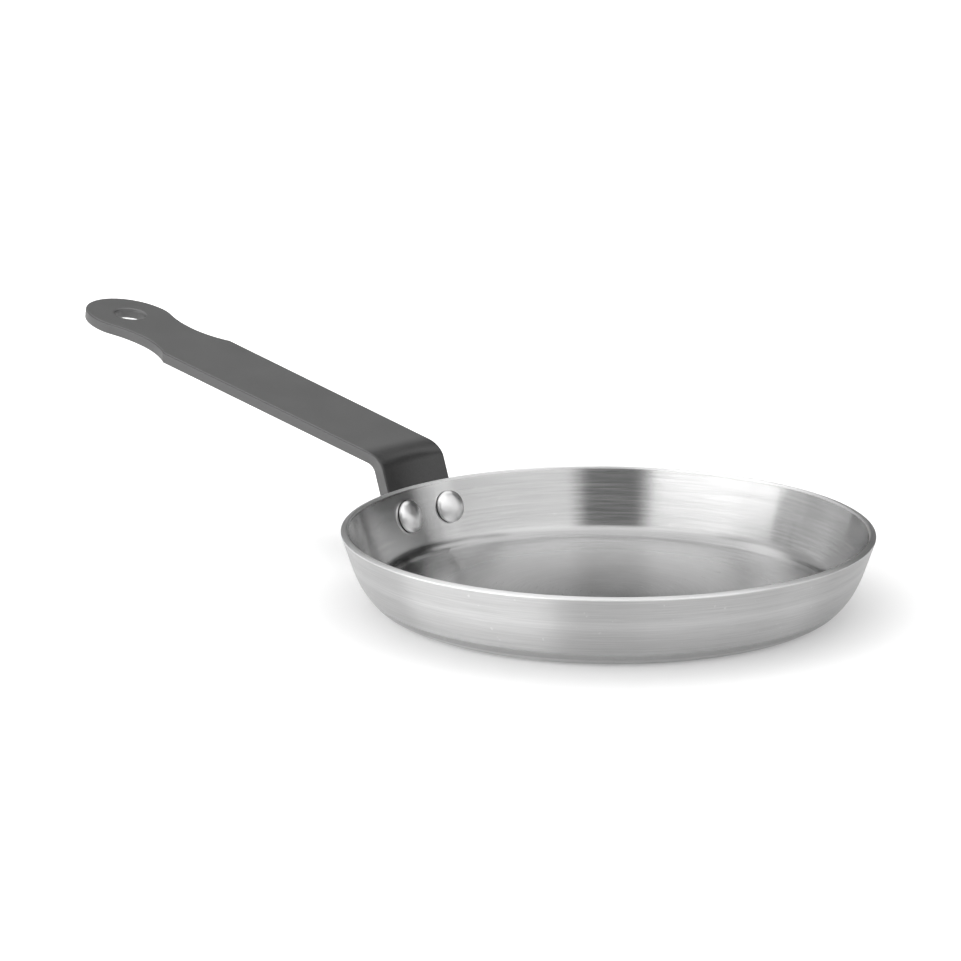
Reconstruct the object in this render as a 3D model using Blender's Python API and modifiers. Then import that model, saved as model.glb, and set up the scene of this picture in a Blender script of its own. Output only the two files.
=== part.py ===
"""Crepe pan: a shallow turned steel dish, a bent flat steel handle and the two rivets that join them.

Metres, +Z up. The origin is the centre of the dish's underside, so the pan stands on Z = 0.
The handle leaves the dish towards +X.
"""
import math

import bmesh
import bpy
from mathutils import Matrix, Vector

MM = 0.001

# Dish
RIM_RADIUS = 100.0 * MM
PAN_HEIGHT = 28.8 * MM
SHEET = 2.5 * MM
WALL_LEAN = math.radians(18.4)
SHOULDER_RADIUS = 30.4 * MM
SHOULDER_TURN = math.radians(25.2)
CORNER_RADIUS = 11.4 * MM
RIM_ROUNDING = 0.6 * MM

# Handle, one flat strip that is bent once
STRIP_THICKNESS = 4.6 * MM
FLANGE_WIDTH = 34.6 * MM
FLANGE_DROP = 17.5 * MM
FLANGE_CORNER = 4.0 * MM
BEND_HEIGHT = 12.7 * MM
BEND_RADIUS = 8.8 * MM
HANDLE_RISE = math.radians(11.3)
EDGE_ROUNDING = 0.7 * MM

# Handle's far end: neck corners, waist, then a blunt rounded end around the hanging hole
NECK_WIDTH = 37.5 * MM
WAIST_WIDTH = 27.6 * MM
END_WIDTH = 36.4 * MM
NECK_CURVE = 40.0 * MM
END_CURVE = 50.0 * MM
END_DISTANCE = 171.6 * MM
END_REACH = 21.7 * MM
END_BLUNTNESS = 2.05
HOLE_RADIUS = 6.5 * MM
HOLE_FLARE = 1.3 * MM
HOLE_ADVANCE = 1.2 * MM

# Rivets
RIVET_SPACING = 23.4 * MM
RIVET_DROP = 11.5 * MM
SHANK_RADIUS = 2.5 * MM
HEAD_RADIUS = 6.4 * MM
HEAD_HEIGHT = 2.5 * MM
HEAD_BRIM = 0.5 * MM
TAIL_RADIUS = 5.2 * MM
TAIL_HEIGHT = 2.0 * MM

# Air between pieces that touch on the real pan
FIT_GAP = 0.3 * MM

# How finely curves are divided
DISH_SEGMENTS = 96
RIVET_SEGMENTS = 28
HOLE_SEGMENTS = 28
ARC_STEP = math.radians(10.0)
RIM_STEP = math.radians(30.0)
BEND_STEPS = 8
FLANGE_STRIPS = 8

# Tolerances of the modelling tools
SHARP_ANGLE = math.radians(35.0)
FLAT_ANGLE = math.radians(0.5)
WELD_DISTANCE = 0.01 * MM
SLICE_DISTANCE = 0.001 * MM


def clear_scene():
    for obj in list(bpy.data.objects):
        bpy.data.objects.remove(obj, do_unlink=True)


def make_collection(name):
    collection = bpy.data.collections.new(name)
    bpy.context.scene.collection.children.link(collection)
    return collection


def make_material(name, colour, roughness, metallic):
    material = bpy.data.materials.new(name)
    material.use_nodes = True
    shader = material.node_tree.nodes["Principled BSDF"]
    shader.inputs["Base Color"].default_value = (*colour, 1.0)
    shader.inputs["Roughness"].default_value = roughness
    shader.inputs["Metallic"].default_value = metallic
    material.diffuse_color = (*colour, 1.0)
    return material


def arc(centre_x, centre_y, radius, start, end, step=ARC_STEP):
    """Points on a circle from one angle to another, both included."""
    steps = max(2, math.ceil(abs(end - start) / step - 0.001))
    angles = [start + (end - start) * i / steps for i in range(steps + 1)]
    return [(centre_x + radius * math.cos(a), centre_y + radius * math.sin(a)) for a in angles]


def new_object(name, mesh, collection):
    obj = bpy.data.objects.new(name, mesh)
    collection.objects.link(obj)
    return obj


def turned(name, profile, segments, collection):
    """A solid turned about its own Z from a profile of (radius, height) that runs down its outer side."""
    mesh = bpy.data.meshes.new(name)
    mesh.from_pydata([(r, 0.0, z) for r, z in profile], [(i, i + 1) for i in range(len(profile) - 1)], [])
    obj = new_object(name, mesh, collection)
    screw = obj.modifiers.new("Turn", "SCREW")
    screw.steps = segments
    screw.render_steps = segments
    screw.use_merge_vertices = True
    screw.merge_threshold = WELD_DISTANCE
    screw.use_smooth_shade = True
    return obj


def cut(obj, cutter):
    boolean = obj.modifiers.new("Cut " + cutter.name, "BOOLEAN")
    boolean.operation = "DIFFERENCE"
    boolean.solver = "EXACT"
    boolean.object = cutter


def hide_as_cutter(obj):
    obj.hide_render = True
    obj.display_type = "WIRE"


def applied_mesh(obj):
    """The object's mesh as its modifiers leave it."""
    depsgraph = bpy.context.evaluated_depsgraph_get()
    return bpy.data.meshes.new_from_object(obj.evaluated_get(depsgraph))


def shade(obj):
    """Smooth shading that stays crisp where two faces meet at a sharp angle."""
    obj.data.shade_smooth()
    obj.data.set_sharp_from_angle(angle=SHARP_ANGLE)


# The wall, shared by the dish, the flange and the rivets

def rim_outer_edge():
    """Radius and height of the rim's outer edge before rounding. The sheet is cut square, so this edge
    is lower than the inner one, and rounding takes both back to the rim's radius and the pan's height.
    """
    rounded_off = RIM_ROUNDING * (math.sin(WALL_LEAN) + math.cos(WALL_LEAN) - 1.0)
    return RIM_RADIUS + rounded_off, PAN_HEIGHT + rounded_off - SHEET * math.sin(WALL_LEAN)


def wall_radius(height):
    """Radius of the wall's outer face, carried on above the rim for the flange."""
    edge_radius, edge_height = rim_outer_edge()
    return edge_radius - (edge_height - height) * math.tan(WALL_LEAN)


def shoulder_centre():
    """Middle of the wide curve that leads from the straight wall into the tighter corner."""
    height = CORNER_RADIUS + (SHOULDER_RADIUS - CORNER_RADIUS) * math.sin(WALL_LEAN + SHOULDER_TURN)
    wall_end = height - SHOULDER_RADIUS * math.sin(WALL_LEAN)
    return wall_radius(wall_end) - SHOULDER_RADIUS * math.cos(WALL_LEAN), height


def base_radius():
    """Radius of the flat underside, where the corner starts."""
    return shoulder_centre()[0] + (SHOULDER_RADIUS - CORNER_RADIUS) * math.cos(WALL_LEAN + SHOULDER_TURN)


def rivet_height():
    return PAN_HEIGHT - RIVET_DROP


def rivet_angle(side):
    """Turn of a rivet about the dish's axis, from the handle's direction."""
    return side * math.asin(RIVET_SPACING / 2 / wall_radius(rivet_height()))


def rivet_frame(side):
    """Placing of a rivet: its Z points out of the wall and its origin is on the wall's outer face."""
    height = rivet_height()
    turn = Matrix.Rotation(rivet_angle(side), 4, "Z")
    out = Vector((math.cos(WALL_LEAN), 0.0, -math.sin(WALL_LEAN)))
    place = Matrix.Translation((wall_radius(height), 0.0, height))
    return turn @ place @ out.to_track_quat("Z", "Y").to_matrix().to_4x4()


# Dish

def rim_profile():
    """The rim's rounded edges, from the inner face over the top to the outer face."""
    lean = WALL_LEAN
    along = Vector((math.sin(lean), math.cos(lean)))
    inward = Vector((-math.cos(lean), math.sin(lean)))
    outer = Vector(rim_outer_edge())
    inner = outer + inward * SHEET
    r = RIM_ROUNDING
    inner_centre = inner - along * r - inward * r
    outer_centre = outer - along * r + inward * r
    points = arc(*inner_centre, r, math.pi - lean, math.pi / 2 - lean, RIM_STEP)
    points += arc(*outer_centre, r, math.pi / 2 - lean, -lean, RIM_STEP)
    return points


def corner_profile(inset):
    """The corner's two curves from the floor up to the straight wall, this far inside the outer face."""
    shoulder_start = -WALL_LEAN - SHOULDER_TURN
    points = arc(base_radius(), CORNER_RADIUS, CORNER_RADIUS - inset, -math.pi / 2, shoulder_start)
    points += arc(*shoulder_centre(), SHOULDER_RADIUS - inset, shoulder_start, -WALL_LEAN)[1:]
    return points


def dish_profile():
    """Section of the dish from the middle of its inner floor over the rim to the middle of its underside."""
    inner, outer = corner_profile(SHEET), corner_profile(0.0)
    return [(0.0, SHEET)] + inner + rim_profile() + outer[::-1] + [(0.0, 0.0)]


def rivet_hole_cutters(collection):
    """Pins that bore the dish's wall, one for each rivet."""
    length = 4 * SHEET
    cutters = []
    for name, side in (("right", 1), ("left", -1)):
        mesh = bpy.data.meshes.new("wall_bore_" + name)
        bm = bmesh.new()
        radius = SHANK_RADIUS + FIT_GAP
        bmesh.ops.create_cone(bm, cap_ends=True, segments=RIVET_SEGMENTS, radius1=radius, radius2=radius,
                              depth=length, matrix=Matrix.Translation((0.0, 0.0, -SHEET / 2)))
        bm.to_mesh(mesh)
        bm.free()
        cutter = new_object("wall_bore_" + name, mesh, collection)
        cutter.matrix_world = rivet_frame(side)
        hide_as_cutter(cutter)
        cutters.append(cutter)
    return cutters


def make_dish(parts, cutters):
    dish = turned("pan_body", dish_profile(), DISH_SEGMENTS, parts)
    for cutter in rivet_hole_cutters(cutters):
        cut(dish, cutter)
    dish.data.materials.append(make_material("brushed_steel", (0.56, 0.56, 0.55), 0.32, 1.0))
    return dish


# Handle. The blank is drawn flat: X runs along the strip from the bend's corner line, the flange lies
# at negative X, and Z = 0 is the face that ends up against the wall and on top. Then the blank is bent.

def bend_angle():
    return math.pi / 2 - WALL_LEAN - HANDLE_RISE


def bend_setback():
    """Distance from the bend's corner line to where the strip starts to curve."""
    return BEND_RADIUS * math.tan(bend_angle() / 2)


def bend_corner():
    """Distance from the dish's axis and height of the line where the strip's two flat faces would meet."""
    height = PAN_HEIGHT + BEND_HEIGHT
    return wall_radius(height) + FIT_GAP / math.cos(WALL_LEAN), height


def flange_length():
    """Length of the strip's face from its lower end up to the bend's corner line."""
    return (BEND_HEIGHT + FLANGE_DROP) / math.cos(WALL_LEAN)


def waist_distance():
    """Place of the narrowest section, where the curve of the neck runs on into the end's curve."""
    across = WAIST_WIDTH / 2 + END_CURVE
    return END_DISTANCE - math.sqrt((END_CURVE + END_WIDTH / 2) ** 2 - across ** 2)


def blank_half_outline():
    """One long side of the flat blank, from the middle of its lower end round to its tip."""
    flange, waist = flange_length(), waist_distance()
    side = FLANGE_WIDTH / 2
    points = arc(-flange + FLANGE_CORNER, side - FLANGE_CORNER, FLANGE_CORNER, math.pi, math.pi / 2)
    points.append((bend_setback(), side))

    neck_centre = WAIST_WIDTH / 2 + NECK_CURVE
    neck_start = -math.acos((neck_centre - NECK_WIDTH / 2) / NECK_CURVE)
    points += arc(waist, neck_centre, NECK_CURVE, -math.pi / 2 + neck_start, -math.pi / 2)

    end_centre = WAIST_WIDTH / 2 + END_CURVE
    sweep = math.asin((END_DISTANCE - waist) / (END_CURVE + END_WIDTH / 2))
    points += arc(waist, end_centre, END_CURVE, -math.pi / 2, -math.pi / 2 + sweep)[1:]
    points += arc(END_DISTANCE, 0.0, END_WIDTH / 2, math.pi / 2 + sweep, math.pi / 2)[1:]

    steps = round(math.pi / 2 / ARC_STEP)
    power = 2 / END_BLUNTNESS
    for i in range(1, steps):
        angle = math.pi / 2 * i / steps
        x = END_DISTANCE + END_REACH * math.sin(angle) ** power
        points.append((x, END_WIDTH / 2 * math.cos(angle) ** power))
    return points


def blank_outline():
    half = blank_half_outline()
    tip = [(END_DISTANCE + END_REACH, 0.0)]
    return half + tip + [(x, -y) for x, y in reversed(half)]


def make_blank(collection):
    """The flat blank as a mesh object, with its long edges rounded."""
    curve = bpy.data.curves.new("blank", "CURVE")
    curve.dimensions = "2D"
    curve.fill_mode = "BOTH"
    curve.extrude = STRIP_THICKNESS / 2 - EDGE_ROUNDING
    curve.bevel_depth = EDGE_ROUNDING
    curve.offset = -EDGE_ROUNDING
    curve.bevel_resolution = 1
    outline = blank_outline()
    spline = curve.splines.new("POLY")
    spline.points.add(len(outline) - 1)
    for point, (x, y) in zip(spline.points, outline):
        point.co = (x, y, 0.0, 1.0)
    spline.use_cyclic_u = True
    drawing = new_object("blank_drawing", curve, collection)
    mesh = applied_mesh(drawing)
    bpy.data.objects.remove(drawing)

    bm = bmesh.new()
    bm.from_mesh(mesh)
    bmesh.ops.translate(bm, verts=bm.verts, vec=(0.0, 0.0, -STRIP_THICKNESS / 2))
    bmesh.ops.remove_doubles(bm, verts=bm.verts, dist=WELD_DISTANCE)
    bmesh.ops.dissolve_limit(bm, angle_limit=FLAT_ANGLE, verts=bm.verts, edges=bm.edges)
    bmesh.ops.recalc_face_normals(bm, faces=bm.faces)
    bm.to_mesh(mesh)
    bm.free()
    return new_object("blank", mesh, collection)


def hole_cutter(collection):
    """Turned cutter for the hanging hole, flared in a quarter round at both faces."""
    mouth = HOLE_RADIUS + HOLE_FLARE
    above = STRIP_THICKNESS / 2
    below = -STRIP_THICKNESS - above
    points = [(0.0, above), (mouth, above)]
    points += arc(mouth, -HOLE_FLARE, HOLE_FLARE, math.pi / 2, math.pi)
    points += arc(mouth, HOLE_FLARE - STRIP_THICKNESS, HOLE_FLARE, math.pi, 3 * math.pi / 2)
    points += [(mouth, below), (0.0, below)]
    cutter = turned("hole_cutter", points, HOLE_SEGMENTS, collection)
    cutter.location.x = END_DISTANCE + HOLE_ADVANCE
    return cutter


def flange_bore_cutters(collection):
    """Pins that bore the flat blank for the rivets."""
    below_corner = PAN_HEIGHT + BEND_HEIGHT - rivet_height() + FIT_GAP * math.sin(WALL_LEAN)
    distance = below_corner / math.cos(WALL_LEAN)
    cutters = []
    for side in (1, -1):
        bpy.ops.mesh.primitive_cylinder_add(vertices=RIVET_SEGMENTS, radius=SHANK_RADIUS + FIT_GAP,
                                            depth=3 * STRIP_THICKNESS,
                                            location=(-distance, side * RIVET_SPACING / 2, 0.0))
        cutter = bpy.context.object
        for holder in cutter.users_collection:
            holder.objects.unlink(cutter)
        collection.objects.link(cutter)
        cutters.append(cutter)
    return cutters


def bent_point(x, y, z):
    """Where a point of the flat blank lies after bending, and after the flange is curved to the wall."""
    corner_x, corner_z = bend_corner()
    setback, angle = bend_setback(), bend_angle()
    curl = 1.0
    if x <= -setback:
        turned_by, reach, lift = 0.0, x * math.sin(WALL_LEAN), x * math.cos(WALL_LEAN)
    elif x < setback:
        turned_by = (x + setback) / (2 * setback) * angle
        slope = math.pi / 2 - WALL_LEAN
        reach = -setback * math.cos(slope) + BEND_RADIUS * (math.sin(slope) - math.sin(slope - turned_by))
        lift = -setback * math.sin(slope) + BEND_RADIUS * (math.cos(slope - turned_by) - math.cos(slope))
        share = turned_by / angle
        curl = 1.0 - share * share * (3.0 - 2.0 * share)
    else:
        turned_by, reach, lift = angle, x * math.cos(HANDLE_RISE), x * math.sin(HANDLE_RISE)
        curl = 0.0
    slope = math.pi / 2 - WALL_LEAN - turned_by
    radius = corner_x + reach
    around = math.asin(curl * y / radius)
    inward = -math.sin(slope)
    normal = Vector((inward * math.cos(around), inward * math.sin(around), math.cos(slope)))
    sink = curl * (radius - math.sqrt(radius * radius - y * y))
    return Vector((radius - sink, y, corner_z + lift)) + normal * z


def bend_blank(mesh):
    """Divides the blank where it bends and curls, then moves every point to its bent place."""
    setback = bend_setback()
    bm = bmesh.new()
    bm.from_mesh(mesh)
    for i in range(BEND_STEPS + 1):
        x = -setback + 2 * setback * i / BEND_STEPS
        geometry = bm.verts[:] + bm.edges[:] + bm.faces[:]
        bmesh.ops.bisect_plane(bm, geom=geometry, dist=SLICE_DISTANCE,
                               plane_co=(x, 0, 0), plane_no=(1, 0, 0))
    for i in range(1, FLANGE_STRIPS):
        y = FLANGE_WIDTH * (i / FLANGE_STRIPS - 0.5)
        bending = [f for f in bm.faces if f.calc_center_median().x < setback]
        edges = {e for f in bending for e in f.edges}
        verts = {v for f in bending for v in f.verts}
        bmesh.ops.bisect_plane(bm, geom=list(verts) + list(edges) + bending, dist=SLICE_DISTANCE,
                               plane_co=(0, y, 0), plane_no=(0, 1, 0))
    for vert in bm.verts:
        vert.co = bent_point(*vert.co)
    bmesh.ops.recalc_face_normals(bm, faces=bm.faces)
    bm.to_mesh(mesh)
    bm.free()


def make_handle(parts, cutters):
    blank = make_blank(cutters)
    tools = [hole_cutter(cutters)] + flange_bore_cutters(cutters)
    for tool in tools:
        cut(blank, tool)
    bpy.context.view_layer.update()
    mesh = applied_mesh(blank)
    for obj in tools + [blank]:
        bpy.data.objects.remove(obj)
    bend_blank(mesh)
    mesh.name = "handle"
    handle = new_object("handle", mesh, parts)
    handle.data.materials.append(make_material("black_coated_steel", (0.055, 0.055, 0.056), 0.42, 0.0))
    shade(handle)
    return handle


# Rivets

def dome(radius, height, brim, base, direction):
    """Section of a rivet head from its middle out to its edge: a low dome on a straight brim."""
    steps = round(math.pi / 2 / ARC_STEP) // 2
    points = []
    for i in range(steps + 1):
        angle = math.pi / 2 * i / steps
        rise = brim + (height - brim) * math.cos(angle)
        points.append((radius * math.sin(angle), base + direction * rise))
    points.append((radius, base))
    return points


def head_clearance():
    """How far the wall stands in under the edge of an inner head: at its sides, and below it, where the
    shoulder begins.
    """
    at_sides = HEAD_RADIUS ** 2 / (2 * (wall_radius(rivet_height()) - SHEET))
    wall_end = shoulder_centre()[1] - SHOULDER_RADIUS * math.sin(WALL_LEAN)
    overhang = max(0.0, HEAD_RADIUS - (rivet_height() - wall_end) / math.cos(WALL_LEAN))
    return max(at_sides, overhang ** 2 / (2 * (SHOULDER_RADIUS - SHEET)))


def rivet_profile():
    """Section of a rivet down its outer side: the formed outer head, the shank, then the inner dome."""
    outer_seat = FIT_GAP + STRIP_THICKNESS + FIT_GAP
    inner_seat = -SHEET - FIT_GAP - head_clearance()
    points = dome(TAIL_RADIUS, TAIL_HEIGHT, HEAD_BRIM, outer_seat, 1)
    points += [(SHANK_RADIUS, outer_seat), (SHANK_RADIUS, inner_seat)]
    points += reversed(dome(HEAD_RADIUS, HEAD_HEIGHT, HEAD_BRIM, inner_seat, -1))
    return points


def make_rivet(name, side, parts):
    rivet = turned(name, rivet_profile(), RIVET_SEGMENTS, parts)
    rivet.matrix_world = rivet_frame(side)
    rivet.data.materials.append(make_material(name + "_steel", (0.74, 0.74, 0.73), 0.25, 1.0))
    return rivet


def main():
    clear_scene()
    parts = make_collection("crepe_pan")
    cutters = make_collection("cutters")
    make_dish(parts, cutters)
    make_handle(parts, cutters)
    make_rivet("rivet_right", 1, parts)
    make_rivet("rivet_left", -1, parts)


main()
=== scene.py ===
"""Looks of the crepe pan: fine meshes over its solids, their finishes, a plain studio, the camera.

Metres, +Z up, in the pan's own frame: the dish's axis is Z, its underside is at Z = 0, and the
handle runs to +X.
"""

import math

import bmesh
import bpy
from mathutils import Matrix, Vector, noise


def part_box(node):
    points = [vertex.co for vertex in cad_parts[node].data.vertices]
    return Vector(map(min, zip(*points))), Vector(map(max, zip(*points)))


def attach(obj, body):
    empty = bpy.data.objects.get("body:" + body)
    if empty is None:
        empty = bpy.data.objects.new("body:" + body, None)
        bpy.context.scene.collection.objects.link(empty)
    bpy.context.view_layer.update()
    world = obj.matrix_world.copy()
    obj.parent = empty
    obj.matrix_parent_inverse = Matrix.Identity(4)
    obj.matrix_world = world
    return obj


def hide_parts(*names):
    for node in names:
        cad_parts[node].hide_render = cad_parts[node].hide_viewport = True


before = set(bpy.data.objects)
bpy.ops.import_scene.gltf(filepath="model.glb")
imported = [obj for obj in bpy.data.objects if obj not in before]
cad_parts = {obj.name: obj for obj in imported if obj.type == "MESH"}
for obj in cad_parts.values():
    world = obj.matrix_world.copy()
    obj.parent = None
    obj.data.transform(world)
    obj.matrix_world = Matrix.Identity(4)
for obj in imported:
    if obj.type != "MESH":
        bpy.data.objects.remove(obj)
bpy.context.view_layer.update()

MM = 0.001

# Dish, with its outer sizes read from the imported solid. Inside, its wall runs straight down to
# INNER_WALL_END above the underside.
RIM_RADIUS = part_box("pan_body")[1].x
PAN_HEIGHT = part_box("pan_body")[1].z
SHEET = 2.5 * MM
WALL_LEAN = math.radians(18.4)
SHOULDER_RADIUS = 30.4 * MM
SHOULDER_TURN = math.radians(25.2)
CORNER_RADIUS = 11.4 * MM
INNER_WALL_END = 6.8 * MM
RIM_ROUNDING = 0.5 * MM
SPIN_LEDGE = 0.12 * MM
DISH_SEGMENTS = 288
ROW_LENGTH = 1.6 * MM
FLOOR_ROW = 4.0 * MM
DISH_WAVE = 0.05 * MM
DISH_WAVE_LENGTH = 45.0 * MM

# Handle, a flat strip that is bent once
STRIP_THICKNESS = 4.6 * MM
FLANGE_WIDTH = 34.6 * MM
FLANGE_DROP = 17.5 * MM
FLANGE_CORNER = 4.0 * MM
BEND_HEIGHT = 12.7 * MM
BEND_RADIUS = 8.8 * MM
HANDLE_RISE = math.radians(11.3)
EDGE_ROUNDING = 0.7 * MM
EDGE_STEPS = 3
NECK_WIDTH = 37.5 * MM
WAIST_WIDTH = 27.6 * MM
END_WIDTH = 36.4 * MM
NECK_CURVE = 40.0 * MM
END_CURVE = 50.0 * MM
END_DISTANCE = 171.6 * MM
END_REACH = 21.7 * MM
END_BLUNTNESS = 2.05
HOLE_RADIUS = 6.5 * MM
HOLE_FLARE = 1.3 * MM
HOLE_ADVANCE = 1.2 * MM
HOLE_SEGMENTS = 96
BEND_STEPS = 24
FLANGE_STRIPS = 24

# Rivets
RIVET_SPACING = 23.4 * MM
RIVET_DROP = 11.5 * MM
SHANK_RADIUS = 2.5 * MM
HEAD_RADIUS = 6.4 * MM
HEAD_HEIGHT = 2.5 * MM
HEAD_BRIM = 0.5 * MM
TAIL_RADIUS = 5.2 * MM
TAIL_HEIGHT = 2.0 * MM
RIVET_SEGMENTS = 96
DOME_STEPS = 20
DENT_DEPTH = 0.14 * MM
DENT_SIZE = 4.5 * MM
DENT_REACH = 0.98 * HEAD_RADIUS

# Shared
FIT_GAP = 0.3 * MM
FINE_STEP = math.radians(3.0)
SHARP_ANGLE = math.radians(40.0)
WELD_DISTANCE = 0.01 * MM
SLICE_DISTANCE = 0.001 * MM

# Steel of the dish. Greys go from dark to light. The brushing's noises have this many cells in a
# radian round the dish and in a metre across it, and all other noises this many in a metre.
INNER_GREYS = (0.54, 0.74)
OUTER_GREYS = (0.51, 0.69)
FLOOR_GREYS = (0.54, 0.72)
# Painted highlight: the rim's lighter greys
RIM_HIGHLIGHT_GREYS = (0.78, 0.92)
# Painted shade in the dish's inner corner
PAINTED_CORNER_SHADE_GREY = 0.34
INNER_ROUGHNESS = 0.22
OUTER_ROUGHNESS = 0.38
FLOOR_ROUGHNESS = 0.31
RIM_ROUGHNESS = 0.47
LINES_ROUND = 3.5
LINES_ACROSS = 1400.0
BANDS_ROUND = 0.9
BANDS_ACROSS = 260.0
SMUDGE_SCALE = 22.0
NICK_SCALE = 520.0
STEEL_BUMP = 0.03 * MM
BRUSHING_TURN = 0.25

# Heights on the dish where a tone begins, is whole, starts to fade and is gone
# Painted highlight: a pale ring on the outer wall where the shoulder starts
PAINTED_HIGHLIGHT_RING = (14.5 * MM, 18.0 * MM, 18.5 * MM, 21.0 * MM)
# Painted shade in the dish's inner corner
PAINTED_CORNER_SHADE = (2.7 * MM, 3.4 * MM, 4.6 * MM, 7.2 * MM)
# Painted highlight on the rim, which is also rougher
RIM_HIGHLIGHT_BAND = (PAN_HEIGHT - 1.3 * MM, PAN_HEIGHT - 0.7 * MM)

# Coat of the handle
UPRIGHT_GREYS = (0.022, 0.044)
# Painted sheen: the lighter greys of the strap's long part
PAINTED_SHEEN_GREYS = (0.134, 0.166)
LONG_START = 10 * MM
# Painted highlight on the strap's narrow sides
PAINTED_SIDE_HIGHLIGHT_GREY = 0.102
# Painted shade along the rounded edges of the long part
PAINTED_EDGE_SHADE_GREY = 0.015
HOLE_GREY = 0.14
COAT_ROUGHNESS = 0.32
COAT_IOR = 1.6
COAT_BUMP = 0.03 * MM
GRAIN_SCALE = 1400.0
CLOUD_SCALE = 60.0

# Steel of the rivets
RIVET_GREYS = (0.78, 0.92)
RIVET_ROUGHNESS = 0.33
RIVET_BUMP = 0.07 * MM
HAMMER_SCALE = 420.0

# Studio. The floor's glow rises over a near and a far stretch of distances from the dish's axis.
WORLD_LIGHT = 0.55
FLOOR_HALF = 6.0
FLOOR_GREY = 0.80
# Painted shadow round the pan: the glow is weak near the dish and rises over this near stretch
PAINTED_SHADOW_FADE = (0.080, 0.19)
GLOW_FAR = (0.3, 1.0)
# Painted pool of light: across this span the glow seen in metal grows lighter to the picture's left
PAINTED_SIDE_LIGHT_SPAN = (-0.14, 0.14)
# Painted shade: metal sees the floor's glow dimmed to this share, for the pan's own shadow
SHADED_GLOW_IN_METAL = 0.6

# Camera. Its bearing is turned about the dish's axis from the handle's direction, anticlockwise
# from above.
CAMERA_BEARING = math.radians(130.8)
CAMERA_DISTANCE = 1.067
CAMERA_ABOVE_RIM = 0.2742
CAMERA_PAN = math.radians(2.557)
CAMERA_TILT = math.radians(-13.541)
LENS_MM = 110.0
SENSOR_MM = 36.0
FARTHEST_SEEN = 50.0


# Drawing helpers

def arc(centre_x, centre_y, radius, start, end, step=FINE_STEP):
    """Points on a circle from one angle to another, both included."""
    steps = max(2, math.ceil(abs(end - start) / step - 0.001))
    angles = [start + (end - start) * i / steps for i in range(steps + 1)]
    return [(centre_x + radius * math.cos(a), centre_y + radius * math.sin(a)) for a in angles]


def divided(start, end, length):
    """Points along a straight line, without its end, at most a given length apart."""
    start, end = Vector(start), Vector(end)
    steps = max(1, math.ceil((end - start).length / length))
    return [tuple(start.lerp(end, i / steps)) for i in range(steps)]


def show(name, data):
    """An object of this mesh, curve, lamp or camera, in the scene."""
    obj = bpy.data.objects.new(name, data)
    bpy.context.scene.collection.objects.link(obj)
    return obj


def baked_mesh(obj):
    """The object's mesh as its modifiers leave it."""
    depsgraph = bpy.context.evaluated_depsgraph_get()
    return bpy.data.meshes.new_from_object(obj.evaluated_get(depsgraph))


def remove(*objects):
    for obj in objects:
        bpy.data.objects.remove(obj, do_unlink=True)


def turned(name, profile, segments):
    """A mesh turned about Z from a profile of (radius, height) that runs down its outer side."""
    mesh = bpy.data.meshes.new(name + "_profile")
    edges = [(i, i + 1) for i in range(len(profile) - 1)]
    mesh.from_pydata([(r, 0.0, z) for r, z in profile], edges, [])
    obj = show(name + "_profile", mesh)
    screw = obj.modifiers.new("Turn", "SCREW")
    screw.steps = segments
    screw.render_steps = segments
    screw.use_merge_vertices = True
    screw.merge_threshold = WELD_DISTANCE
    screw.use_smooth_shade = True
    made = baked_mesh(obj)
    made.name = name
    remove(obj)
    return made


def cut(obj, *cutters):
    """Cuts the object's mesh with each cutter, and removes the cutters."""
    for cutter in cutters:
        boolean = obj.modifiers.new("Cut", "BOOLEAN")
        boolean.operation = "DIFFERENCE"
        boolean.solver = "EXACT"
        boolean.object = cutter
    bpy.context.view_layer.update()
    obj.data = baked_mesh(obj)
    obj.modifiers.clear()
    remove(*cutters)


def smooth(mesh):
    """Smooth shading that stays crisp at sharp edges."""
    mesh.shade_smooth()
    mesh.set_sharp_from_angle(angle=SHARP_ANGLE)


# Wall, shared by the dish, the flange and the rivets

def rim_outer_edge():
    """Radius and height of the rim's outer edge as if it were not rounded."""
    rounded_off = RIM_ROUNDING * (math.sin(WALL_LEAN) + math.cos(WALL_LEAN) - 1.0)
    return RIM_RADIUS + rounded_off, PAN_HEIGHT + rounded_off - SHEET * math.sin(WALL_LEAN)


def wall_radius(height):
    """Radius of the wall's outer face at a height, as if it ran on straight."""
    edge_radius, edge_height = rim_outer_edge()
    return edge_radius - (edge_height - height) * math.tan(WALL_LEAN)


def shoulder_centre():
    """Middle of the wide curve that leads from the straight wall into the tighter corner."""
    past_corner = SHOULDER_RADIUS - CORNER_RADIUS
    height = CORNER_RADIUS + past_corner * math.sin(WALL_LEAN + SHOULDER_TURN)
    wall_end = height - SHOULDER_RADIUS * math.sin(WALL_LEAN)
    return wall_radius(wall_end) - SHOULDER_RADIUS * math.cos(WALL_LEAN), height


def base_radius():
    """Radius of the flat underside, where the corner starts."""
    past_corner = SHOULDER_RADIUS - CORNER_RADIUS
    return shoulder_centre()[0] + past_corner * math.cos(WALL_LEAN + SHOULDER_TURN)


def rivet_height():
    return PAN_HEIGHT - RIVET_DROP


def rivet_frame(side):
    """Placing of a rivet: Z points out of the wall, and the origin is on the wall's outer face."""
    height = rivet_height()
    radius = wall_radius(height)
    turn = Matrix.Rotation(side * math.asin(RIVET_SPACING / 2 / radius), 4, "Z")
    out = Vector((math.cos(WALL_LEAN), 0.0, -math.sin(WALL_LEAN)))
    tilt = out.to_track_quat("Z", "Y").to_matrix().to_4x4()
    return turn @ Matrix.Translation((radius, 0.0, height)) @ tilt


# Dish

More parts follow.
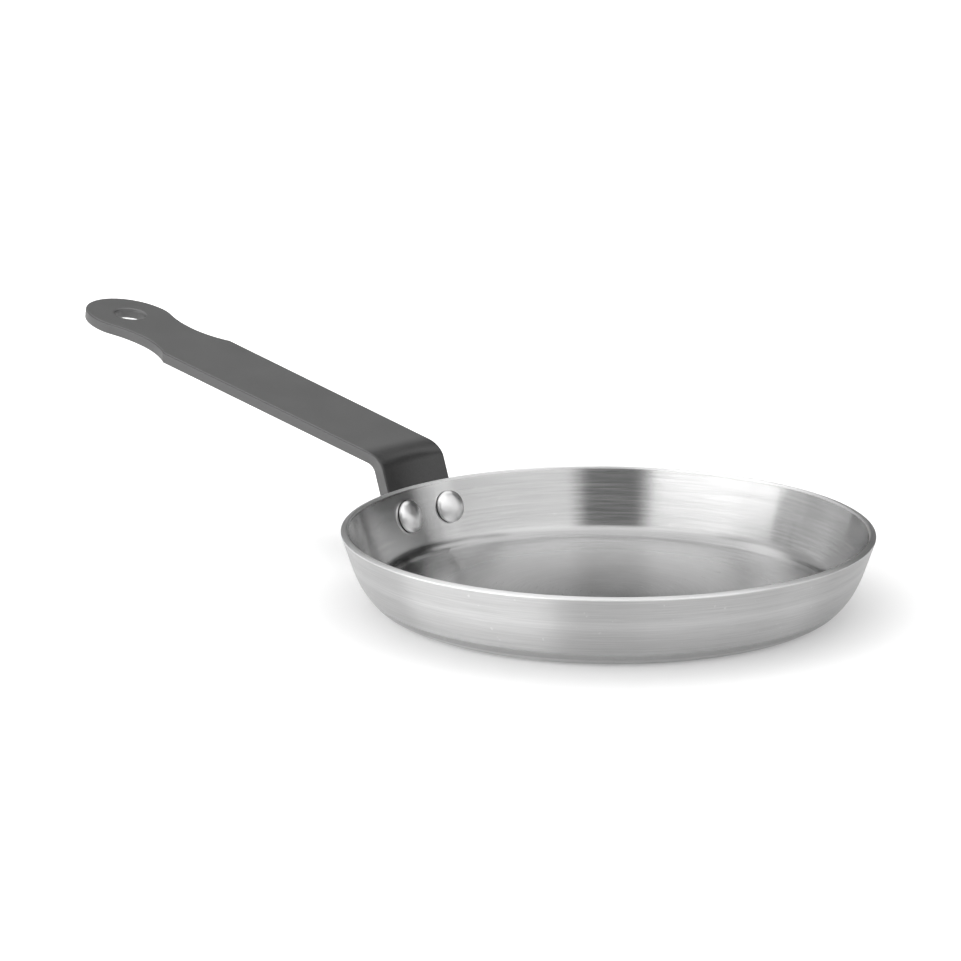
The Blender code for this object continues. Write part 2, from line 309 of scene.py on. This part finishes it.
def rim_profile():
    """The rim's rounded edges, from the inner face over the top to the outer face."""
    along = Vector((math.sin(WALL_LEAN), math.cos(WALL_LEAN)))
    inward = Vector((-math.cos(WALL_LEAN), math.sin(WALL_LEAN)))
    outer = Vector(rim_outer_edge())
    inner = outer + inward * SHEET
    r = RIM_ROUNDING
    inner_centre = inner - along * r - inward * r
    outer_centre = outer - along * r + inward * r
    step = 3 * FINE_STEP
    points = arc(*inner_centre, r, math.pi - WALL_LEAN, math.pi / 2 - WALL_LEAN, step)
    points += arc(*outer_centre, r, math.pi / 2 - WALL_LEAN, -WALL_LEAN, step)
    return points


def corner_profile(inset):
    """The corner's two curves from the underside up to the straight wall, inset from outside."""
    shoulder_start = -WALL_LEAN - SHOULDER_TURN
    points = arc(base_radius(), CORNER_RADIUS, CORNER_RADIUS - inset, -math.pi / 2, shoulder_start)
    points += arc(*shoulder_centre(), SHOULDER_RADIUS - inset, shoulder_start, -WALL_LEAN)[1:]
    return points


def inner_corner_profile():
    """The inner corner from the floor up to the wall.

    The wall runs straight further down inside than outside, as its reflections in the photo
    suggest, so the sheet is thinner at this corner than elsewhere.
    """
    radius = (INNER_WALL_END - SHEET) / (1.0 - math.sin(WALL_LEAN))
    wall_end = wall_radius(INNER_WALL_END) - SHEET / math.cos(WALL_LEAN)
    centre = wall_end - radius * math.cos(WALL_LEAN)
    return arc(centre, SHEET + radius, radius, -math.pi / 2, -WALL_LEAN)


def dish_profile():
    """Section of the dish from the middle of its inner floor over the rim to that of its underside.

    The outer corner lies a hair inside the line of the outer wall, which leaves the faint ledge
    where the wall was spun straight.
    """
    inner_corner = inner_corner_profile()
    outer_corner = corner_profile(SPIN_LEDGE)[::-1]
    outer_corner[1:] = [(r, max(0.0, z - SPIN_LEDGE)) for r, z in outer_corner[1:]]
    rim = rim_profile()
    wall_end = corner_profile(0.0)[-1]

    points = divided((0.0, SHEET), inner_corner[0], FLOOR_ROW)
    points += inner_corner[:-1]
    points += divided(inner_corner[-1], rim[0], ROW_LENGTH)
    points += rim
    points += divided(rim[-1], wall_end, ROW_LENGTH)[1:]
    points.append(wall_end)
    points += outer_corner
    points += divided(outer_corner[-1], (0.0, 0.0), FLOOR_ROW)[1:]
    points.append((0.0, 0.0))
    return points


def wave(mesh, depth, length):
    """Moves points a little inwards and down by a slow noise, as hand work leaves a sheet.

    The underside stays flat.
    """
    for vert in mesh.vertices:
        share = min(1.0, vert.co.z / SHEET)
        flat = Vector((vert.co.x, vert.co.y, 0.0))
        push = abs(depth * share * noise.noise(flat / length))
        if flat.length > 0.0:
            vert.co -= flat.normalized() * push
        vert.co.z -= push * 0.5


def wall_bore(side):
    """Cutter for one rivet's hole in the wall."""
    mesh = bpy.data.meshes.new("wall_bore")
    bm = bmesh.new()
    radius = SHANK_RADIUS + FIT_GAP
    bmesh.ops.create_cone(
        bm, cap_ends=True, segments=RIVET_SEGMENTS, radius1=radius, radius2=radius,
        depth=4 * SHEET, matrix=Matrix.Translation((0.0, 0.0, -SHEET / 2)))
    bm.to_mesh(mesh)
    bm.free()
    cutter = show("wall_bore", mesh)
    cutter.matrix_world = rivet_frame(side)
    return cutter


def make_dish():
    mesh = turned("dish", dish_profile(), DISH_SEGMENTS)
    wave(mesh, DISH_WAVE, DISH_WAVE_LENGTH)
    dish = show("dish", mesh)
    cut(dish, wall_bore(1), wall_bore(-1))
    smooth(dish.data)
    dish.data.name = "dish"
    return dish


# Handle. The blank is drawn flat, then bent: X runs along the strip from the bend's corner line,
# the flange lies at negative X, and Z = 0 is the face that ends up towards the dish and on top.

def bend_angle():
    return math.pi / 2 - WALL_LEAN - HANDLE_RISE


def bend_setback():
    return BEND_RADIUS * math.tan(bend_angle() / 2)


def bend_corner():
    """Distance from the axis and height of the line where the strip's flat faces would meet."""
    height = PAN_HEIGHT + BEND_HEIGHT
    return wall_radius(height) + FIT_GAP / math.cos(WALL_LEAN), height


def waist_distance():
    """Where along the blank it is narrowest, between the neck and the rounded end."""
    across = WAIST_WIDTH / 2 + END_CURVE
    return END_DISTANCE - math.sqrt((END_CURVE + END_WIDTH / 2) ** 2 - across ** 2)


def blank_half_outline():
    """One long side of the flat blank, from the middle of its lower end round to its tip."""
    flange = (BEND_HEIGHT + FLANGE_DROP) / math.cos(WALL_LEAN)
    waist = waist_distance()
    side = FLANGE_WIDTH / 2
    points = arc(-flange + FLANGE_CORNER, side - FLANGE_CORNER, FLANGE_CORNER, math.pi, math.pi / 2)
    points.append((bend_setback(), side))

    neck_centre = WAIST_WIDTH / 2 + NECK_CURVE
    neck_start = -math.acos((neck_centre - NECK_WIDTH / 2) / NECK_CURVE)
    points += arc(waist, neck_centre, NECK_CURVE, -math.pi / 2 + neck_start, -math.pi / 2)

    end_centre = WAIST_WIDTH / 2 + END_CURVE
    sweep = math.asin((END_DISTANCE - waist) / (END_CURVE + END_WIDTH / 2))
    points += arc(waist, end_centre, END_CURVE, -math.pi / 2, -math.pi / 2 + sweep)[1:]
    points += arc(END_DISTANCE, 0.0, END_WIDTH / 2, math.pi / 2 + sweep, math.pi / 2)[1:]

    steps = round(math.pi / 2 / FINE_STEP)
    power = 2 / END_BLUNTNESS
    for i in range(1, steps):
        angle = math.pi / 2 * i / steps
        x = END_DISTANCE + END_REACH * math.sin(angle) ** power
        points.append((x, END_WIDTH / 2 * math.cos(angle) ** power))
    return points


def make_blank():
    """The flat blank as a mesh object, with its long edges rounded."""
    half = blank_half_outline()
    outline = half + [(END_DISTANCE + END_REACH, 0.0)] + [(x, -y) for x, y in reversed(half)]
    curve = bpy.data.curves.new("blank", "CURVE")
    curve.dimensions = "2D"
    curve.fill_mode = "BOTH"
    curve.extrude = STRIP_THICKNESS / 2 - EDGE_ROUNDING
    curve.bevel_depth = EDGE_ROUNDING
    curve.offset = -EDGE_ROUNDING
    curve.bevel_resolution = EDGE_STEPS
    spline = curve.splines.new("POLY")
    spline.points.add(len(outline) - 1)
    for point, (x, y) in zip(spline.points, outline):
        point.co = (x, y, 0.0, 1.0)
    spline.use_cyclic_u = True
    drawing = show("blank_drawing", curve)
    mesh = baked_mesh(drawing)
    remove(drawing)

    bm = bmesh.new()
    bm.from_mesh(mesh)
    bmesh.ops.translate(bm, verts=bm.verts, vec=(0.0, 0.0, -STRIP_THICKNESS / 2))
    bmesh.ops.remove_doubles(bm, verts=bm.verts, dist=WELD_DISTANCE)
    bmesh.ops.dissolve_limit(bm, angle_limit=math.radians(0.1), verts=bm.verts, edges=bm.edges)
    bmesh.ops.recalc_face_normals(bm, faces=bm.faces)
    bm.to_mesh(mesh)
    bm.free()
    return show("blank", mesh)


def hanging_hole_cutter():
    """Turned cutter for the hanging hole, flared in a quarter round at both faces."""
    mouth = HOLE_RADIUS + HOLE_FLARE
    above = STRIP_THICKNESS / 2
    below = -STRIP_THICKNESS - above
    step = 3 * FINE_STEP
    points = [(0.0, above), (mouth, above)]
    points += arc(mouth, -HOLE_FLARE, HOLE_FLARE, math.pi / 2, math.pi, step)
    points += arc(mouth, HOLE_FLARE - STRIP_THICKNESS, HOLE_FLARE, math.pi, 3 * math.pi / 2, step)
    points += [(mouth, below), (0.0, below)]
    cutter = show("hanging_hole_cutter", turned("hanging_hole_cutter", points, HOLE_SEGMENTS))
    cutter.location.x = END_DISTANCE + HOLE_ADVANCE
    return cutter


def flange_bore(side):
    """Cutter for one rivet's hole in the flat blank."""
    below_corner = PAN_HEIGHT + BEND_HEIGHT - rivet_height() + FIT_GAP * math.sin(WALL_LEAN)
    bpy.ops.mesh.primitive_cylinder_add(vertices=RIVET_SEGMENTS, radius=SHANK_RADIUS + FIT_GAP,
                                        depth=3 * STRIP_THICKNESS)
    cutter = bpy.context.object
    cutter.location = (-below_corner / math.cos(WALL_LEAN), side * RIVET_SPACING / 2, 0.0)
    return cutter


def bent_point(x, y, z):
    """Where a point of the flat blank lies once it is bent and its flange is curved to the wall.

    The curl to the wall's roundness is whole on the flange and runs out along the bend.
    """
    corner_x, corner_z = bend_corner()
    setback, angle = bend_setback(), bend_angle()
    steep = math.pi / 2 - WALL_LEAN
    if x <= -setback:
        turned_by, curl = 0.0, 1.0
        reach, lift = x * math.cos(steep), x * math.sin(steep)
    elif x < setback:
        share = (x + setback) / (2 * setback)
        turned_by, curl = share * angle, 1.0 - share * share * (3.0 - 2.0 * share)
        slope = steep - turned_by
        reach = -setback * math.cos(steep) + BEND_RADIUS * (math.sin(steep) - math.sin(slope))
        lift = -setback * math.sin(steep) + BEND_RADIUS * (math.cos(slope) - math.cos(steep))
    else:
        turned_by, curl = angle, 0.0
        reach, lift = x * math.cos(HANDLE_RISE), x * math.sin(HANDLE_RISE)
    slope = steep - turned_by
    radius = corner_x + reach
    around = math.asin(curl * y / radius)
    inward = -math.sin(slope)
    normal = Vector((inward * math.cos(around), inward * math.sin(around), math.cos(slope)))
    sink = curl * (radius - math.sqrt(radius * radius - y * y))
    return Vector((radius - sink, y, corner_z + lift)) + normal * z


def bend_blank(mesh):
    """Divides the blank where it bends and curls, then moves every point to its bent place."""
    setback = bend_setback()
    bm = bmesh.new()
    bm.from_mesh(mesh)
    for i in range(BEND_STEPS + 1):
        x = -setback + 2 * setback * i / BEND_STEPS
        geometry = bm.verts[:] + bm.edges[:] + bm.faces[:]
        bmesh.ops.bisect_plane(bm, geom=geometry, dist=SLICE_DISTANCE,
                               plane_co=(x, 0, 0), plane_no=(1, 0, 0))
    for i in range(1, FLANGE_STRIPS):
        y = FLANGE_WIDTH * (i / FLANGE_STRIPS - 0.5)
        bending = [f for f in bm.faces if f.calc_center_median().x < setback]
        edges = {e for f in bending for e in f.edges}
        verts = {v for f in bending for v in f.verts}
        bmesh.ops.bisect_plane(bm, geom=list(verts) + list(edges) + bending, dist=SLICE_DISTANCE,
                               plane_co=(0, y, 0), plane_no=(0, 1, 0))
    for vert in bm.verts:
        vert.co = bent_point(*vert.co)
    bmesh.ops.recalc_face_normals(bm, faces=bm.faces)
    bm.to_mesh(mesh)
    bm.free()


def make_handle():
    strap = make_blank()
    cut(strap, hanging_hole_cutter(), flange_bore(1), flange_bore(-1))
    bend_blank(strap.data)
    smooth(strap.data)
    strap.name = strap.data.name = "strap_handle"
    weighted = strap.modifiers.new("Flat faces stay flat", "WEIGHTED_NORMAL")
    weighted.keep_sharp = True
    return strap


# Rivets

def dome(radius, height, brim, base, direction):
    """Section of a rivet head from its middle out to its edge: a low dome on a straight brim."""
    points = []
    for i in range(DOME_STEPS + 1):
        angle = math.pi / 2 * i / DOME_STEPS
        rise = brim + (height - brim) * math.cos(angle)
        points.append((radius * math.sin(angle), base + direction * rise))
    points.append((radius, base))
    return points


def head_clearance():
    """How far the round wall stands in under the edge of an inner head.

    It does so at the head's sides, and below it, where the shoulder begins.
    """
    at_sides = HEAD_RADIUS ** 2 / (2 * (wall_radius(rivet_height()) - SHEET))
    wall_end = shoulder_centre()[1] - SHOULDER_RADIUS * math.sin(WALL_LEAN)
    overhang = max(0.0, HEAD_RADIUS - (rivet_height() - wall_end) / math.cos(WALL_LEAN))
    return max(at_sides, overhang ** 2 / (2 * (SHOULDER_RADIUS - SHEET)))


def rivet_profile():
    """Section of a rivet down its outer side: formed outer head, shank, then the inner dome."""
    outer_seat = FIT_GAP + STRIP_THICKNESS + FIT_GAP
    inner_seat = -SHEET - FIT_GAP - head_clearance()
    points = dome(TAIL_RADIUS, TAIL_HEIGHT, HEAD_BRIM, outer_seat, 1)
    points += [(SHANK_RADIUS, outer_seat), (SHANK_RADIUS, inner_seat)]
    points += reversed(dome(HEAD_RADIUS, HEAD_HEIGHT, HEAD_BRIM, inner_seat, -1))
    return points


def dent(mesh, seed):
    """Hammer marks on the heads: each point sinks towards the shank by a noise of its place."""
    for vert in mesh.vertices:
        across = Vector((vert.co.x, vert.co.y)).length
        if across < DENT_REACH:
            mark = noise.noise(vert.co / DENT_SIZE + Vector((seed, 0.0, 0.0)))
            vert.co.z -= math.copysign(DENT_DEPTH * (mark + 0.5), vert.co.z)


def make_rivet(name, side):
    mesh = turned(name, rivet_profile(), RIVET_SEGMENTS)
    dent(mesh, 7.0 * side)
    mesh.transform(rivet_frame(side))
    smooth(mesh)
    return show(name, mesh)


# Finishes

class Value:
    """A number, vector or colour from a node's output. Arithmetic on it adds Math nodes."""

    def __init__(self, finish, output):
        self.finish = finish
        self.output = output

    def math(self, operation, *others):
        """A Math node with this value in its first socket."""
        return self.finish.math(operation, self, *others)

    def __add__(self, other):
        return self.math("ADD", other)

    def __radd__(self, other):
        return self.math("ADD", other)

    def __sub__(self, other):
        return self.math("SUBTRACT", other)

    def __rsub__(self, other):
        return self.finish.math("SUBTRACT", other, self)

    def __mul__(self, other):
        return self.math("MULTIPLY", other)

    def __rmul__(self, other):
        return self.math("MULTIPLY", other)

    def __truediv__(self, other):
        return self.math("DIVIDE", other)

    def __rtruediv__(self, other):
        return self.finish.math("DIVIDE", other, self)

    def between(self, low, high):
        """0 below low, 1 above high and a smooth step in between."""
        return self.finish.node(
            "MapRange", {"interpolation_type": "SMOOTHSTEP"}, {0: self, 1: low, 2: high})

    def within(self, start, full, last, end):
        """0 up to start and from end on, 1 from full to last, and smooth steps in between."""
        return self.between(start, full) * (1.0 - self.between(last, end))

    def swing(self, amount):
        """How far a noise is from its middle, times an amount."""
        return (self - 0.5) * amount


class Finish:
    """The nodes of one material, or of the world."""

    def __init__(self, owner):
        owner.use_nodes = True
        self.owner = owner
        self.tree = owner.node_tree
        self.tree.nodes.clear()

    def add(self, kind, settings=None, sockets=None):
        """Adds a node: first its settings, then its sockets' values or links."""
        made = self.tree.nodes.new("ShaderNode" + kind)
        for name, setting in (settings or {}).items():
            setattr(made, name, setting)
        for name, value in (sockets or {}).items():
            if isinstance(value, Value):
                self.tree.links.new(value.output, made.inputs[name])
            else:
                made.inputs[name].default_value = value
        return made

    def node(self, kind, settings=None, sockets=None, output=0):
        """Adds a node and gives one of its outputs."""
        return Value(self, self.add(kind, settings, sockets).outputs[output])

    def math(self, operation, *values):
        return self.node("Math", {"operation": operation}, dict(enumerate(values)))

    def split(self, vector):
        """X, Y and Z of a vector."""
        outputs = self.add("SeparateXYZ", None, {0: vector}).outputs
        return [Value(self, output) for output in outputs]

    def joined(self, x, y, z):
        return self.node("CombineXYZ", None, {0: x, 1: y, 2: z})

    def place(self):
        """Where a point of the surface lies in its object's frame, which for the pan is its own."""
        return self.node("TexCoord", output="Object")

    def rays(self):
        """Three values that are 1 where the camera, a reflection or something clear looks."""
        outputs = self.add("LightPath").outputs
        kinds = ("Camera", "Glossy", "Transmission")
        return [Value(self, outputs["Is %s Ray" % kind]) for kind in kinds]

    def noise(self, vector, scale, detail=2.0, roughness=0.5):
        return self.node("TexNoise", {"noise_dimensions": "3D"}, {
            "Vector": vector, "Scale": scale, "Detail": detail, "Roughness": roughness})

    def blended(self, factor, first, second):
        sockets = {0: factor, 6: first, 7: second}
        return self.node("Mix", {"data_type": "RGBA"}, sockets, output=2)

    def toned(self, tone, greys):
        """A grey that goes from dark to light with the tone."""
        dark, light = greys
        return self.blended(tone, grey(dark), grey(light))

    def bump(self, height, strength, distance):
        sockets = {"Strength": strength, "Distance": distance, "Height": height}
        return self.node("Bump", None, sockets)

    def principled(self, sockets):
        return self.node("BsdfPrincipled", {"distribution": "MULTI_GGX"}, sockets)

    def surface(self, shader):
        """Ends a material with its shader, and gives the material."""
        self.add("OutputMaterial", None, {"Surface": shader})
        return self.owner


def grey(value):
    return (value, value, value, 1.0)


def brushed_steel():
    """Steel brushed round the dish: fine lines along the turn, slow bands, smudges, a few nicks.

    The wall has the full one-way sheen of its brushing. The floor has half of it, and takes on the
    wall's towards its edge. The rim is painted lighter as a highlight, and scatters light like the
    floor but wider. A pale ring on the outer wall is a painted highlight, and the inner corner is
    painted darker as shade.
    """
    f = Finish(bpy.data.materials.new("brushed_steel"))
    place = f.place()
    x, y, z = f.split(place)
    radius = (x * x + y * y).math("SQRT")
    turn_x, turn_y, across = x / radius, y / radius, radius + z
    lines = f.joined(turn_x * LINES_ROUND, turn_y * LINES_ROUND, across * LINES_ACROSS)
    lines = f.noise(lines, 1.0, 3.0, 0.7)
    bands = f.joined(turn_x * BANDS_ROUND, turn_y * BANDS_ROUND, across * BANDS_ACROSS)
    bands = f.noise(bands, 1.0)
    smudge = f.noise(place, SMUDGE_SCALE, 4.0, 0.6)
    nicks = f.noise(place, NICK_SCALE, 1.0).between(0.74, 0.80)

    outside = radius - wall_radius(0.0) - z * math.tan(WALL_LEAN) + SHEET
    outside = outside.between(0.0, 0.5 * SHEET)
    # painted highlight: a pale ring on the outer wall
    ring = z.within(*PAINTED_HIGHLIGHT_RING)
    # painted shade: the inner corner is darkened towards a dark grey
    corner = z.within(*PAINTED_CORNER_SHADE) * (1.0 - outside)
    # rim band: its lighter greys are a painted highlight, and it is rougher
    rim = z.between(*RIM_HIGHLIGHT_BAND)

    tone = lines.swing(1.6) + bands.swing(0.45) + smudge.swing(0.45) + nicks * 0.7 + 0.5
    colour = f.toned(tone, INNER_GREYS)
    colour = f.blended(outside, colour, f.toned(tone + ring * 0.35, OUTER_GREYS))
    colour = f.blended(corner * 0.5, colour, grey(PAINTED_CORNER_SHADE_GREY))
    colour = f.blended(rim, colour, f.toned(tone, RIM_HIGHLIGHT_GREYS))
    floor_colour = f.blended(rim, f.toned(tone, FLOOR_GREYS), colour)

    wear = lines.swing(0.16) + smudge.swing(0.06)
    rough = outside * (OUTER_ROUGHNESS - INNER_ROUGHNESS) + INNER_ROUGHNESS + wear
    floor_rough = rim * (RIM_ROUGHNESS - FLOOR_ROUGHNESS) + FLOOR_ROUGHNESS + wear
    common = {"Metallic": 1.0, "Normal": f.bump(lines, 0.12, STEEL_BUMP),
              "Anisotropic Rotation": BRUSHING_TURN}
    wall = f.principled({
        **common, "Base Color": colour, "Roughness": rough, "Anisotropic": 1.0})
    floor = f.principled({
        **common, "Base Color": floor_colour, "Roughness": floor_rough, "Anisotropic": 0.5})
    on_wall = radius.between(0.4 * base_radius(), base_radius()) * (1.0 - rim)
    return f.surface(f.node("MixShader", None, {0: on_wall, 1: floor, 2: wall}))


def black_coat():
    """Black coat, mottled and grainy: dark on the upright, painted a lighter sheen from bend to
    tip.

    The strap's narrow sides are painted lighter as a highlight, the wall of its hole is a lighter
    grey still, and a dark line of painted shade runs along the rounded edges of the long part.
    """
    f = Finish(bpy.data.materials.new("black_coat"))
    place = f.place()
    x, y, z = f.split(place)
    grain = f.noise(place, GRAIN_SCALE, 2.0, 0.6)
    cloud = f.noise(place, CLOUD_SCALE, 3.0, 0.6)

    normal_x, normal_y, normal_z = f.split(f.node("TexCoord", output="Normal"))
    flat = normal_z * math.cos(HANDLE_RISE) - normal_x * math.sin(HANDLE_RISE)
    flat = flat.math("ABSOLUTE").between(0.3, 0.8)
    bend_x = bend_corner()[0]
    long_part = x.between(bend_x, bend_x + LONG_START)
    sides = normal_y.math("ABSOLUTE").between(0.5, 0.9).math("MAXIMUM", long_part * (1.0 - flat))
    # painted shade: a dark line where the long part's faces round over into its sides
    edges = long_part * flat * (1.0 - flat) * 3.2
    hole_x = bent_point(END_DISTANCE + HOLE_ADVANCE, 0.0, -STRIP_THICKNESS / 2).x
    from_hole = ((x - hole_x) * (x - hole_x) + y * y).math("SQRT")
    mouth = HOLE_RADIUS + HOLE_FLARE
    hole_wall = sides * (1.0 - from_hole.between(mouth, mouth + HOLE_FLARE))

    mottle = cloud.swing(0.9) + grain.swing(1.3) + 0.5
    # painted sheen: from the bend to the tip the coat is painted a lighter grey
    colour = f.blended(long_part, f.toned(mottle, UPRIGHT_GREYS), f.toned(mottle, PAINTED_SHEEN_GREYS))
    # painted highlight: the narrow sides are painted lighter
    colour = f.blended(sides, colour, grey(PAINTED_SIDE_HIGHLIGHT_GREY))
    colour = f.blended(edges, colour, grey(PAINTED_EDGE_SHADE_GREY))
    colour = f.blended(hole_wall, colour, grey(HOLE_GREY))
    rough = cloud.swing(0.10) + grain.swing(0.08) + sides * 0.1 + COAT_ROUGHNESS
    return f.surface(f.principled({
        "Base Color": colour, "Metallic": 0.0, "Roughness": rough, "IOR": COAT_IOR,
        "Normal": f.bump(grain, 0.3, COAT_BUMP)}))


def rivet_steel():
    """Bright rivet heads, burnished and lightly hammered."""
    f = Finish(bpy.data.materials.new("rivet_steel"))
    hammered = f.noise(f.place(), HAMMER_SCALE, 3.0, 0.6)
    return f.surface(f.principled({
        "Base Color": f.toned(hammered, RIVET_GREYS), "Metallic": 1.0,
        "Roughness": hammered.swing(0.12) + RIVET_ROUGHNESS,
        "Normal": f.bump(hammered, 0.2, RIVET_BUMP)}))


def studio_white():
    """White floor that keeps the shadow: the lamps light it, and it glows where it is looked at.

    The glow is weak under and round the pan, a painted shadow, and grows with the distance. In
    metal all of it is weaker, as painted shade, and a painted pool of light makes it stronger to
    the picture's left of the dish than to the right.
    """
    f = Finish(bpy.data.materials.new("studio_white"))
    camera, glossy, clear = f.rays()
    x, y = f.split(f.place())[:2]
    distance = (x * x + y * y).math("SQRT")
    # painted shadow round the pan: the glow is weak near the dish's axis
    level = distance.between(*PAINTED_SHADOW_FADE) * 0.45 + distance.between(*GLOW_FAR) * 0.20 + 0.25
    left = facing(-90, 0, 1)
    # painted pool of light: in metal the glow is lighter to the picture's left
    painted_left_light = (x * left.x + y * left.y).between(*PAINTED_SIDE_LIGHT_SPAN)
    level = level * (glossy * painted_left_light.swing(0.42) + 1.0)
    # painted shade: metal sees a dimmer glow
    shown = camera + glossy * SHADED_GLOW_IN_METAL + clear
    matt = f.node("BsdfDiffuse", None, {"Color": grey(FLOOR_GREY)})
    glow = f.node("Emission", None, {"Color": f.joined(level, level, level), "Strength": shown})
    return f.surface(f.node("AddShader", None, {0: matt, 1: glow}))


def soft_card(name, width, height, edge, brightness):
    """An evenly bright or dark card that fades out towards its edges."""
    f = Finish(bpy.data.materials.new(name))
    x, y = f.split(f.place())[:2]
    inside = (width / 2 - x.math("ABSOLUTE")).between(0.0, edge)
    inside = inside * (height / 2 - y.math("ABSOLUTE")).between(0.0, edge)
    clear = f.node("BsdfTransparent")
    shown = f.node("Emission", None, {"Color": grey(1.0), "Strength": brightness})
    return f.surface(f.node("MixShader", None, {0: inside, 1: clear, 2: shown}))


# Studio. Bearings and elevations are in degrees as seen from the dish, bearings from the camera's
# side and positive to the right of the picture.

def facing(bearing, elevation, distance):
    """A place round the dish."""
    turn = CAMERA_BEARING + math.radians(bearing)
    rise = math.radians(elevation)
    flat = distance * math.cos(rise)
    return Vector((flat * math.cos(turn), flat * math.sin(turn), distance * math.sin(rise)))


def aim(obj, place):
    """Puts an object at a place, facing the dish."""
    obj.location = place
    obj.rotation_euler = (-place).to_track_quat("-Z", "Y").to_euler()


def rectangle(name, half_width, half_height):
    """A flat mesh object of one face, in its own XY plane."""
    signs = ((-1, -1), (1, -1), (1, 1), (-1, 1))
    mesh = bpy.data.meshes.new(name)
    mesh.from_pydata([(x * half_width, y * half_height, 0) for x, y in signs], [], [(0, 1, 2, 3)])
    return show(name, mesh)


def softbox(name, bearing, elevation, distance, width, height, brightness):
    """A lamp that lights the dish as a surface of this brightness would, and isn't mirrored."""
    lamp = bpy.data.lights.new(name, "AREA")
    lamp.shape = "RECTANGLE"
    lamp.size = width
    lamp.size_y = height
    lamp.energy = brightness * math.pi * width * height
    obj = show(name, lamp)
    obj.visible_camera = False
    obj.visible_glossy = False
    aim(obj, facing(bearing, elevation, distance))


def card(name, brightness, bearing, elevation, half_width, half_height, edge, distance):
    """A soft card that only reflections see. Its half sizes and its edge are in degrees too."""
    w, h, edge = [distance * math.tan(math.radians(a)) for a in (half_width, half_height, edge)]
    obj = rectangle(name, w, h)
    obj.data.materials.append(soft_card(name, 2 * w, 2 * h, edge, brightness))
    for ray in ("camera", "diffuse", "shadow", "transmission", "volume_scatter"):
        setattr(obj, "visible_" + ray, False)
    aim(obj, facing(bearing, elevation, distance))


def make_floor():
    floor = rectangle("floor", FLOOR_HALF, FLOOR_HALF)
    floor.data.materials.append(studio_white())


def make_world():
    """Even light from all round, and plain white where it is looked at, directly or in metal."""
    world = bpy.data.worlds.new("studio")
    bpy.context.scene.world = world
    f = Finish(world)
    camera, glossy, clear = f.rays()
    seen = camera.math("MAXIMUM", glossy).math("MAXIMUM", clear)
    level = f.node("MapRange", None, {"Value": seen, "To Min": WORLD_LIGHT, "To Max": 1.0})
    back = f.node("Background", None, {"Color": grey(1.0), "Strength": level})
    f.add("OutputWorld", None, {"Surface": back})


def make_camera():
    camera = bpy.data.cameras.new("camera")
    camera.lens = LENS_MM
    camera.sensor_width = SENSOR_MM
    camera.clip_end = FARTHEST_SEEN
    obj = show("camera", camera)
    flat = Vector((math.cos(CAMERA_BEARING), math.sin(CAMERA_BEARING), 0.0)) * CAMERA_DISTANCE
    obj.location = flat + Vector((0.0, 0.0, PAN_HEIGHT + CAMERA_ABOVE_RIM))
    heading = CAMERA_BEARING - math.pi + CAMERA_PAN
    obj.rotation_euler = (math.pi / 2 + CAMERA_TILT, 0.0, heading - math.pi / 2)
    bpy.context.scene.camera = obj


def make_lights():
    """Lamps, then the bright cards that the steel mirrors, then the dark ones between them."""
    softbox("softbox_left", -49, 30, distance=1.3, width=1.7, height=1.0, brightness=1.0)
    softbox("softbox_right", 60, 30, distance=1.3, width=1.4, height=1.0, brightness=0.5)
    softbox("softbox_top", 180, 75, distance=1.2, width=1.4, height=1.0, brightness=1.0)
    for name, brightness, bearing, elevation, half_width, half_height, edge, distance in (
            ("glow_left", 1.05, -49, 20, 27, 24, 14, 2.0),
            ("glow_far_left", 0.88, -84, 20, 26, 24, 12, 2.1),
            ("glow_low_left", 6.00, -57, 2, 37, 11, 6, 1.8),
            ("glow_right", 1.12, 50, 24, 42, 20, 9, 2.0),
            ("glow_front", 1.65, 0, 62, 66, 18, 10, 1.95),
            ("glow_top", 1.25, 180, 70, 45, 19, 7, 1.7),
            ("glow_high", 1.50, 228, 50, 24, 10, 8, 1.65),
            ("flag_front", 0.07, -2, 23, 21, 30, 12, 1.6),
            ("flag_low", 0.04, 46, 3, 34, 14, 6, 1.9),
            ("flag_back_right", 0.03, 134, 32, 37, 40, 8, 2.2),
            ("flag_back", 0.07, 186, 18, 38, 30, 8, 2.15),
            ("flag_back_left", 0.60, 243, 28, 32, 34, 8, 2.2)):
        card(name, brightness, bearing, elevation, half_width, half_height, edge, distance)


def dress(obj, node, material):
    """Puts a fine mesh in the place of a solid."""
    obj.data.materials.clear()
    obj.data.materials.append(material)
    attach(obj, "root")
    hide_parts(node)


make_camera()
make_world()
make_floor()
make_lights()
dress(make_dish(), "pan_body", brushed_steel())
dress(make_handle(), "handle", black_coat())
rivet_finish = rivet_steel()
dress(make_rivet("rivet_right_fine", 1), "rivet_right", rivet_finish)
dress(make_rivet("rivet_left_fine", -1), "rivet_left", rivet_finish)
bpy.context.scene.view_settings.view_transform = "Standard"
